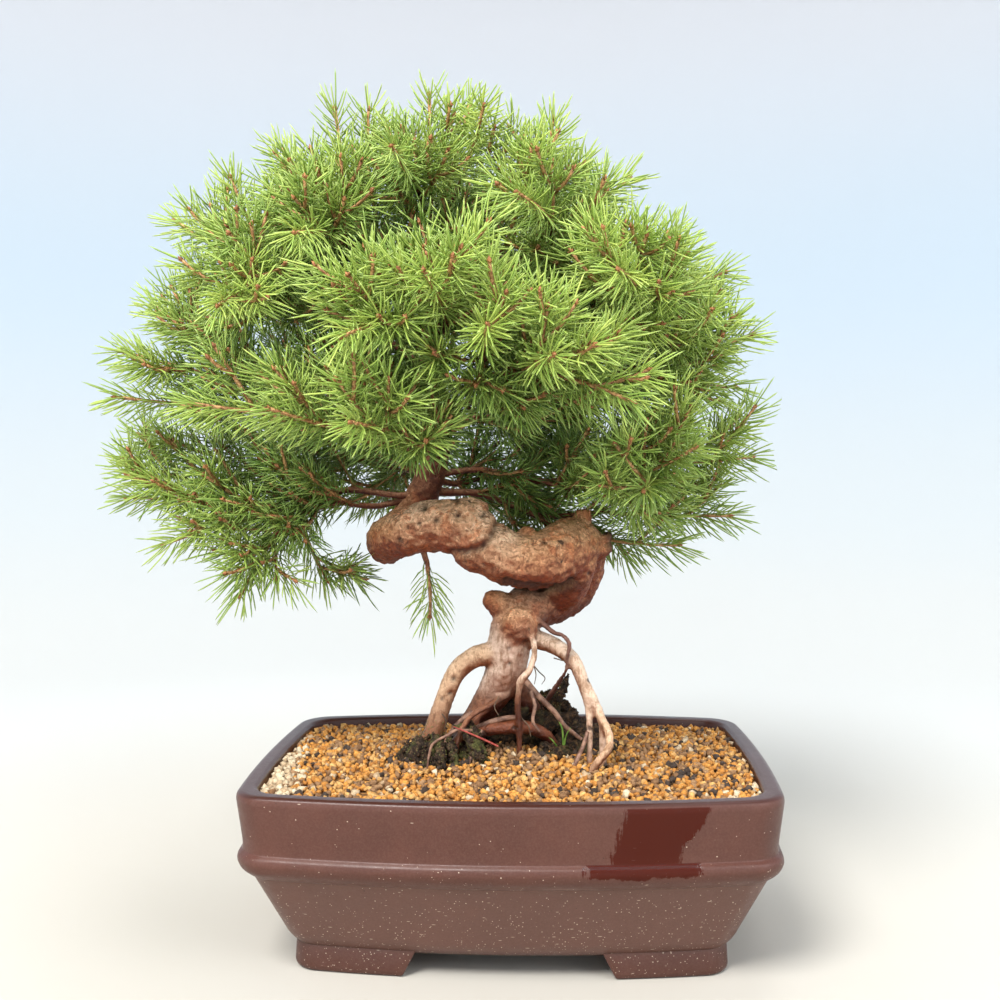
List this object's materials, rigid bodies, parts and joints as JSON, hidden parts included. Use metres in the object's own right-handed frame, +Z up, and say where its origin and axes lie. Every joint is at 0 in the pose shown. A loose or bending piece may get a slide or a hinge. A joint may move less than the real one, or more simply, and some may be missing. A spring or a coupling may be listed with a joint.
{
  "type": "potted bonsai tree",
  "caption": "Small spruce bonsai with a coiled trunk, exposed roots and a rounded needle crown, in an oblong unglazed pot on feet.",
  "frame": {"origin": "centre of the object's box, on the plane that the pot's feet stand on", "axes": "+Z up, -Y towards the front of the picture, +X to its right; the pot's long side lies along X"},
  "size_m": [0.3378, 0.2834, 0.4145],
  "materials": {
    "ceramic": "matte unglazed stoneware, purple-brown",
    "granules": "dry fired-clay granules, orange and tan, with dark peat",
    "bark": "rough bark, tan above and red-brown below",
    "needles": "living needles on thin twigs",
    "plastic": "matte black mesh",
    "wire": "anodised brown wire"
  },
  "bodies": {
    "root": {"drain_screen_left": "plastic", "drain_screen_right": "plastic", "pot": "ceramic", "screen_clip_left": "wire", "screen_clip_right": "wire", "soil": "granules", "spray_01": "needles", "spray_02": "needles", "spray_03": "needles", "spray_04": "needles", "spray_05": "needles", "spray_06": "needles", "spray_07": "needles", "spray_08": "needles", "spray_09": "needles", "spray_10": "needles", "spray_11": "needles", "spray_12": "needles", "spray_13": "needles", "spray_14": "needles", "spray_15": "needles", "spray_16": "needles", "spray_17": "needles", "spray_18": "needles", "spray_19": "needles", "spray_20": "needles", "spray_21": "needles", "spray_22": "needles", "spray_23": "needles", "spray_24": "needles", "spray_25": "needles", "spray_26": "needles", "spray_27": "needles", "spray_28": "needles", "spray_29": "needles", "spray_30": "needles", "spray_31": "needles", "spray_32": "needles", "spray_33": "needles", "spray_34": "needles", "spray_35": "needles", "spray_36": "needles", "spray_37": "needles", "spray_38": "needles", "spray_39": "needles", "spray_40": "needles", "spray_41": "needles", "spray_42": "needles", "spray_43": "needles", "spray_44": "needles", "spray_45": "needles", "spray_46": "needles", "spray_47": "needles", "spray_48": "needles", "spray_49": "needles", "spray_50": "needles", "spray_51": "needles", "spray_52": "needles", "spray_53": "needles", "trunk": "bark"}
  },
  "joints": []
}
